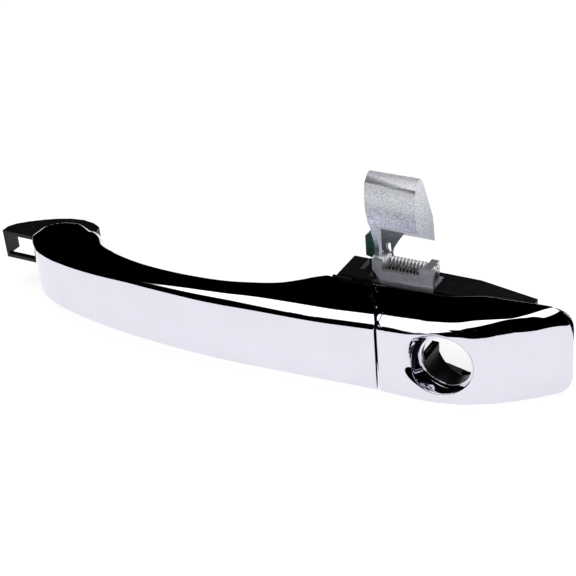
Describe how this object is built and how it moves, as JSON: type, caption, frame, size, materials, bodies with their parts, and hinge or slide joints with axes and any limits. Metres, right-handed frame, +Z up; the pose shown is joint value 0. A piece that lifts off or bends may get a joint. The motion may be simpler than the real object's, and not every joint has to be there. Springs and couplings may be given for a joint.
{
  "type": "car door handle",
  "caption": "Chrome pull-strap exterior car door handle with fixed lock cap, hooked pivot arm and a spring-loaded counterweight bell crank behind the cap.",
  "frame": {"origin": "on the axis of the mounting insert, in the plane of the cap's rear edge (the door skin lies one gasket behind it)", "axes": "+X runs along the handle from the pivot arm towards the lock, +Y goes into the door, +Z is up"},
  "size_m": [0.2473, 0.064, 0.0732],
  "materials": {
    "chrome_plate": "mirror-bright chrome plating over a moulded shell",
    "arm_nylon": "black glass-filled nylon, fine moulded grain",
    "liner_plastic": "black moulded plastic, satin",
    "core_metal": "plain stiffening bar, as cast",
    "housing_plastic": "dark grey moulded plastic, satin",
    "seal_rubber": "black rubber, matt",
    "sleeve_plastic": "black moulded plastic, semi-gloss",
    "clip_bronze": "dark spring bronze",
    "insert_brass": "machined brass",
    "crank_zinc": "die-cast zinc alloy, satin as cast",
    "bracket_zinc": "die-cast zinc alloy, satin as cast",
    "screw_steel": "zinc-plated steel",
    "spring_steel": "oiled spring wire",
    "bush_nylon": "natural nylon",
    "clip_green": "green moulded acetal"
  },
  "bodies": {
    "carrier": {"cap_shell": "chrome_plate", "cap_screws": "screw_steel", "base_housing": "housing_plastic", "cap_gasket": "seal_rubber", "parting_seal": "seal_rubber", "lock_sleeve": "sleeve_plastic", "lock_seal": "seal_rubber", "lock_clip": "clip_bronze", "mount_insert": "insert_brass", "crank_bracket": "bracket_zinc", "bracket_screws": "screw_steel", "pivot_pin": "screw_steel", "pin_clip": "screw_steel", "spring_sleeve": "bush_nylon"},
    "strap": {"strap_shell": "chrome_plate", "strap_liner": "liner_plastic", "strap_core": "core_metal", "liner_screws": "screw_steel", "pivot_arm": "arm_nylon", "arm_screws": "screw_steel", "pivot_pad_gasket": "seal_rubber", "strap_leg": "arm_nylon", "leg_screws": "screw_steel", "leg_bumper": "seal_rubber"},
    "crank": {"bell_crank": "crank_zinc", "torsion_spring": "spring_steel"},
    "clip": {"rod_clip": "clip_green"}
  },
  "joints": [
    {"name": "strap_pivot", "type": "hinge", "parent": "carrier", "child": "strap", "pos_m": [-0.1835, -0.006, 0], "axis": [0, 0, -1], "range_deg": [0, 5]},
    {"name": "crank_pivot", "type": "hinge", "parent": "carrier", "child": "crank", "pos_m": [0, 0.008, 0.017], "axis": [-1, 0, 0], "range_deg": [0, 40], "stiffness_Nm_per_rad": 0.25, "springref_deg": -34.38},
    {"name": "clip_swivel", "type": "hinge", "parent": "crank", "child": "clip", "pos_m": [0, 0.0122, 0.0224], "axis": [1, 0, 0], "range_deg": [0, 40]}
  ],
  "couplings": [
    {"joint": "crank_pivot", "follows": "strap_pivot", "ratio": 8},
    {"joint": "clip_swivel", "follows": "strap_pivot", "ratio": 8}
  ]
}
